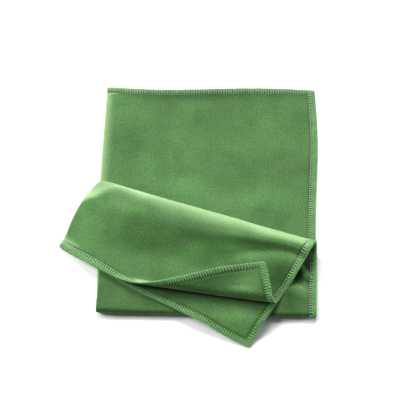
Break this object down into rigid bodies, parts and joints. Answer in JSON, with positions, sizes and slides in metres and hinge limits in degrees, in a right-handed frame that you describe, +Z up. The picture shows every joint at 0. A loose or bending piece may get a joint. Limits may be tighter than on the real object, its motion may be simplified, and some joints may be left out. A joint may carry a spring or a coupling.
{
  "type": "folded microfibre cloth",
  "caption": "Green microfibre cloth with overlocked edges, folded into quarters with its front half turned down on a slant and one free corner curled back.",
  "frame": {"origin": "under the middle of the folded cloth's box, on the surface it lies on", "axes": "+Z up from the surface, +Y from the bottom fold towards the top hem, +X from the side fold towards the right hem"},
  "size_m": [0.21, 0.2256, 0.0253],
  "materials": {
    "cloth": "soft matt microfibre knit with a short nap"
  },
  "bodies": {
    "root": {"cloth": "cloth"}
  },
  "joints": []
}
